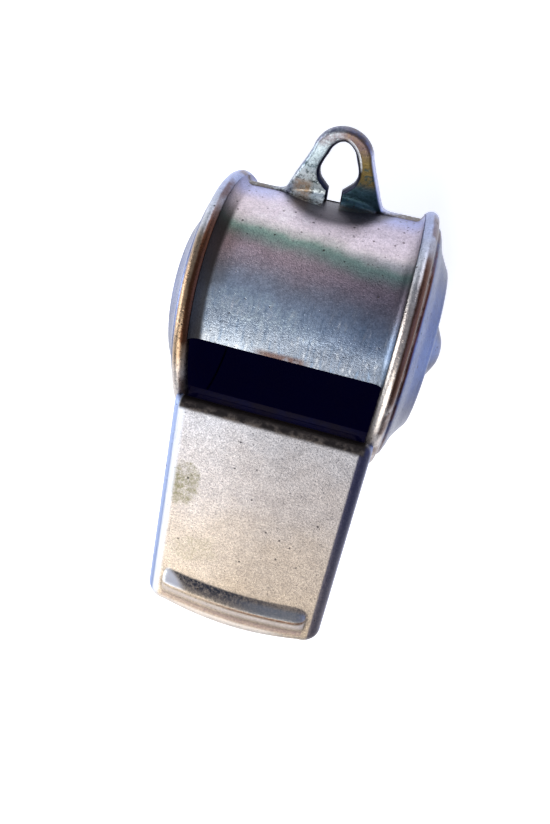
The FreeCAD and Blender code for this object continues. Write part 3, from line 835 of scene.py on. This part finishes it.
def make_loop_root():
    """Concave bend where the loop's sheet turns out of the barrel, either side of the slot."""
    across = 48
    steps = 10
    for name, side in (("loop_bend_left", -1), ("loop_bend_right", 1)):
        points = []
        for i in range(across + 1):
            x = side * (SLOT_SIDE + (FOOT_HALF - SLOT_SIDE - 0.02) * i / across)
            reach = 2.6 * math.sqrt(1 - (x / FOOT_HALF) ** 2) + 0.04
            high = SEAM_ANGLE - reach / BARREL
            start = Vector(((BARREL + 0.01) * math.sin(high), (BARREL + 0.01) * math.cos(high)))
            end = Vector(on_loop(reach * 0.35 + 0.55, LOOP_SHEET / 2 + 0.01))
            meet = Vector((BARREL + 0.07, 1.28))
            for step in range(steps + 1):
                t = step / steps
                spot = start * (1 - t) ** 2 + meet * 2 * t * (1 - t) + end * t * t
                points.append((x, spot.x, spot.y))
            points.append((x,) + on_loop(0.1, 0.0))
        count = steps + 2
        faces = [tuple(range(count)), tuple(range(across * count, (across + 1) * count))]
        for i in range(across):
            for step in range(count):
                a, b = i * count + step, i * count + (step + 1) % count
                faces.append((a, b, b + count, a + count))
        mesh_piece(name, points, faces, [LOOP_PLATE], CASE, ())


def make_pea():
    """The cork ball at the bottom of the barrel, pitted but inside the CAD's ball."""
    ball = bmesh.new()
    bmesh.ops.create_icosphere(ball, subdivisions=5, radius=1.0)
    centre = Vector((0, 0, -(BARREL - METAL - PEA_RADIUS - PEA_GAP)))
    skin = PEA_RADIUS - 0.06
    points = []
    for vertex in ball.verts:
        way = vertex.co.normalized()
        pore = max(noise.noise(way * 7) - 0.25, 0) * 0.35
        points.append(tuple(centre + way * (skin + 0.05 * noise.noise(way * 2.5) - pore)))
    faces = [tuple(v.index for v in face.verts) for face in ball.faces]
    ball.free()
    mesh_piece("cork_pea", points, faces, [CORK], PEA, ("pea",))


make_shells()
make_caps()
make_mouthpiece()
make_loop()
make_loop_root()
make_pea()
for node, material in (("mouthpiece_floor", MOUTH_PLATE), ("windway_plate", INSIDE)):
    frame["nodes"][node].data.materials.clear()
    frame["nodes"][node].data.materials.append(material)


# ---------------------------------------------------------------- stage

def make_floor():
    mesh = bpy.data.meshes.new("floor")
    reach = 1.5
    mesh.from_pydata([(-reach, -reach, 0), (reach, -reach, 0), (reach, reach, 0), (-reach, reach, 0)],
                     [], [(0, 1, 2, 3)])
    mesh.materials.append(floor_material())
    floor = bpy.data.objects.new("floor", mesh)
    bpy.context.scene.collection.objects.link(floor)


def area_light(name, place, size, power, colour):
    """Soft round lamp that faces the barrel."""
    data = bpy.data.lights.new(name, "AREA")
    data.shape = "DISK"
    data.size = size
    data.energy = power
    data.color = colour
    lamp = bpy.data.objects.new(name, data)
    lamp.location = place
    target = Vector((0, AXIS.y, AXIS.z))
    lamp.rotation_euler = (target - Vector(place)).to_track_quat("-Z", "Y").to_euler()
    bpy.context.scene.collection.objects.link(lamp)


def make_world():
    """Even, slightly blue sky light."""
    world = bpy.data.worlds.new("sky")
    bpy.context.scene.world = world
    world.use_nodes = True
    back = world.node_tree.nodes["Background"]
    back.inputs["Color"].default_value = (0.72, 0.80, 1.0, 1.0)
    back.inputs["Strength"].default_value = 0.35
    bpy.context.scene.view_settings.view_transform = "Standard"


def make_camera():
    """Close wide-angle view from above, a little behind the barrel."""
    eye = to_row(5.15, 13.38, 52.33)
    data = bpy.data.cameras.new("camera")
    data.sensor_width = 36
    data.lens = 26.2
    data.clip_start = 0.002
    camera = bpy.data.objects.new("camera", data)
    right = Vector((0.9603, 0.1948, -0.1997)).normalized()
    ahead = Vector((-0.1088, -0.3977, -0.9110)).normalized()
    up = right.cross(ahead).normalized()
    right = ahead.cross(up)
    turn = Matrix((right, up, -ahead)).transposed()
    camera.matrix_world = Matrix.Translation(eye) @ turn.to_4x4()
    bpy.context.scene.collection.objects.link(camera)
    bpy.context.scene.camera = camera


make_floor()
make_world()
area_light("front_top", (-0.12, -0.38, 0.50), 0.55, 3.2, (1.0, 0.97, 0.93))
area_light("left_low", (-0.60, 0.00, 0.16), 0.40, 2.4, (0.95, 0.97, 1.0))
area_light("back_low", (0.05, 0.65, 0.16), 0.45, 1.1, (1.0, 0.95, 0.98))
area_light("right_fill", (0.60, 0.10, 0.14), 0.50, 1.25, (0.42, 0.52, 1.0))
make_camera()
